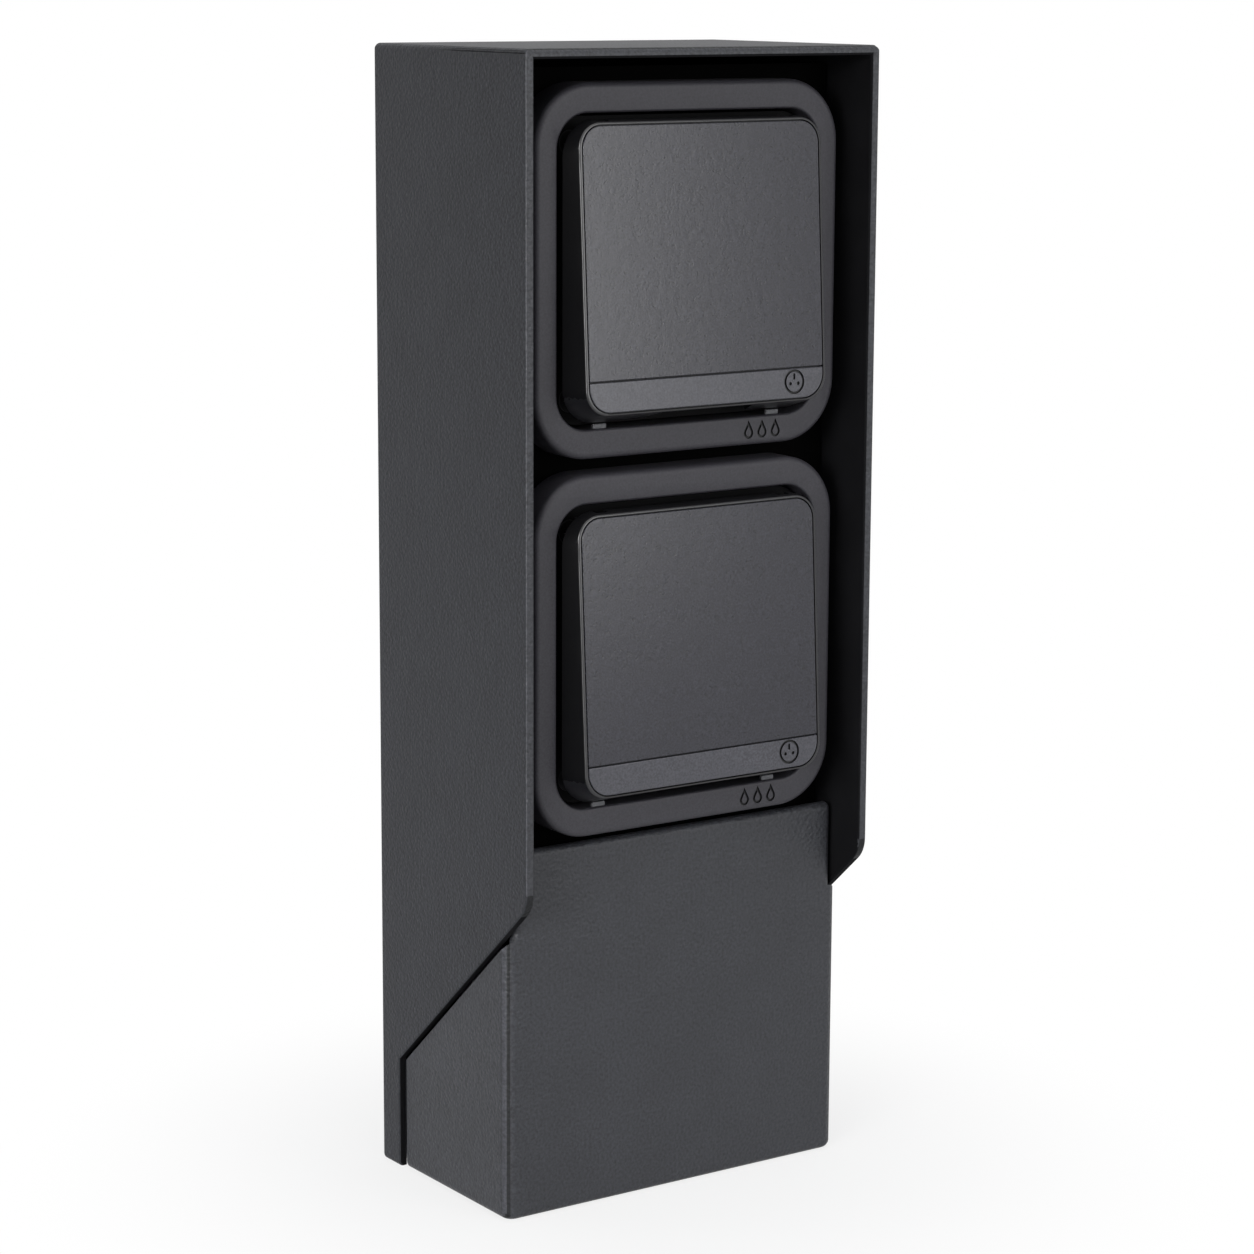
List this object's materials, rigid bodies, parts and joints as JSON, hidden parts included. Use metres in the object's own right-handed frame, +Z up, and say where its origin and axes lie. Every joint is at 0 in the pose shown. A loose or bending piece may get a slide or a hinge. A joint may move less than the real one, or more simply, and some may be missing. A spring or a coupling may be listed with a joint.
{
  "type": "garden socket post",
  "caption": "Low outdoor socket post: a folded steel hood with slanted foot over lidded flush sockets, one above the other, on a separate base cover and foot plate.",
  "frame": {"origin": "on the ground, in the middle of the footprint", "axes": "+Z up, -Y towards the user in front of the lids, +X to the right across the width"},
  "size_m": [0.1086, 0.076, 0.3],
  "materials": {
    "powder_coat": "fine grained matt powder coat in anthracite on steel sheet",
    "black_steel": "flat black coat on steel sheet",
    "zinc_steel": "bright zinc plate",
    "stainless_steel": "turned stainless steel",
    "spring_steel": "drawn spring wire",
    "brass": "turned brass",
    "black_rubber": "matt moulded rubber",
    "grey_plastic": "moulded grey plastic",
    "white_plastic": "moulded white plastic",
    "black_plastic": "moulded black plastic",
    "cable_sheath": "smooth black cable sheath",
    "lead_insulation": "smooth lead insulation",
    "insert_plastic": "moulded anthracite plastic",
    "frame_plastic": "finely eroded moulded plastic in anthracite",
    "panel_plastic": "satin moulded plastic in lighter anthracite",
    "stop_plastic": "moulded light grey plastic"
  },
  "bodies": {
    "root": {"base_cover": "powder_coat", "cable_clips": "grey_plastic", "cable_grommet": "black_rubber", "chassis_screws": "stainless_steel", "cover_screws": "stainless_steel", "foot_plate": "zinc_steel", "foot_screws": "stainless_steel", "hood": "powder_coat", "junction_box": "grey_plastic", "junction_box_cover": "grey_plastic", "junction_box_glands": "grey_plastic", "junction_box_screws": "zinc_steel", "lower_back_box": "black_plastic", "lower_box_grommet": "black_rubber", "lower_contact_carrier": "white_plastic", "lower_contact_sleeves": "brass", "lower_earth_pin": "brass", "lower_feed_cable": "cable_sheath", "lower_frame": "frame_plastic", "lower_frame_gasket": "black_rubber", "lower_hinge_pin": "stainless_steel", "lower_insert_screws": "zinc_steel", "lower_lid_springs": "spring_steel", "lower_lid_stops": "stop_plastic", "lower_shutter_spring": "spring_steel", "lower_socket_insert": "insert_plastic", "lower_socket_leads": "lead_insulation", "lower_socket_well": "insert_plastic", "lower_terminal_screws": "zinc_steel", "socket_carrier": "black_steel", "terminal_block": "white_plastic", "terminal_block_screws": "zinc_steel", "upper_back_box": "black_plastic", "upper_box_grommet": "black_rubber", "upper_contact_carrier": "white_plastic", "upper_contact_sleeves": "brass", "upper_earth_pin": "brass", "upper_feed_cable": "cable_sheath", "upper_frame": "frame_plastic", "upper_frame_gasket": "black_rubber", "upper_hinge_pin": "stainless_steel", "upper_insert_screws": "zinc_steel", "upper_lid_springs": "spring_steel", "upper_lid_stops": "stop_plastic", "upper_shutter_spring": "spring_steel", "upper_socket_insert": "insert_plastic", "upper_socket_leads": "lead_insulation", "upper_socket_well": "insert_plastic", "upper_terminal_screws": "zinc_steel"},
    "upper_lid": {"upper_lid": "frame_plastic", "upper_lid_panel": "panel_plastic", "upper_lid_strip": "panel_plastic", "upper_lid_gasket": "black_rubber"},
    "upper_shutter": {"upper_shutter": "white_plastic"},
    "lower_lid": {"lower_lid": "frame_plastic", "lower_lid_panel": "panel_plastic", "lower_lid_strip": "panel_plastic", "lower_lid_gasket": "black_rubber"},
    "lower_shutter": {"lower_shutter": "white_plastic"}
  },
  "joints": [
    {"name": "upper_lid_hinge", "type": "hinge", "parent": "root", "child": "upper_lid", "pos_m": [0, -0.0296, 0.2783], "axis": [-1, 0, 0], "range_deg": [0, 92], "stiffness_Nm_per_rad": 0.012, "springref_deg": -57.3},
    {"name": "lower_lid_hinge", "type": "hinge", "parent": "root", "child": "lower_lid", "pos_m": [0, -0.0296, 0.1808], "axis": [-1, 0, 0], "range_deg": [0, 92], "stiffness_Nm_per_rad": 0.012, "springref_deg": -57.3},
    {"name": "upper_shutter_slide", "type": "slide", "parent": "root", "child": "upper_shutter", "axis": [0, 0, -1], "range_m": [0, 0.0065], "stiffness_N_per_m": 150, "springref_m": -0.002, "deforming": ["upper_shutter_spring"]},
    {"name": "lower_shutter_slide", "type": "slide", "parent": "root", "child": "lower_shutter", "axis": [0, 0, -1], "range_m": [0, 0.0065], "stiffness_N_per_m": 150, "springref_m": -0.002, "deforming": ["lower_shutter_spring"]}
  ]
}
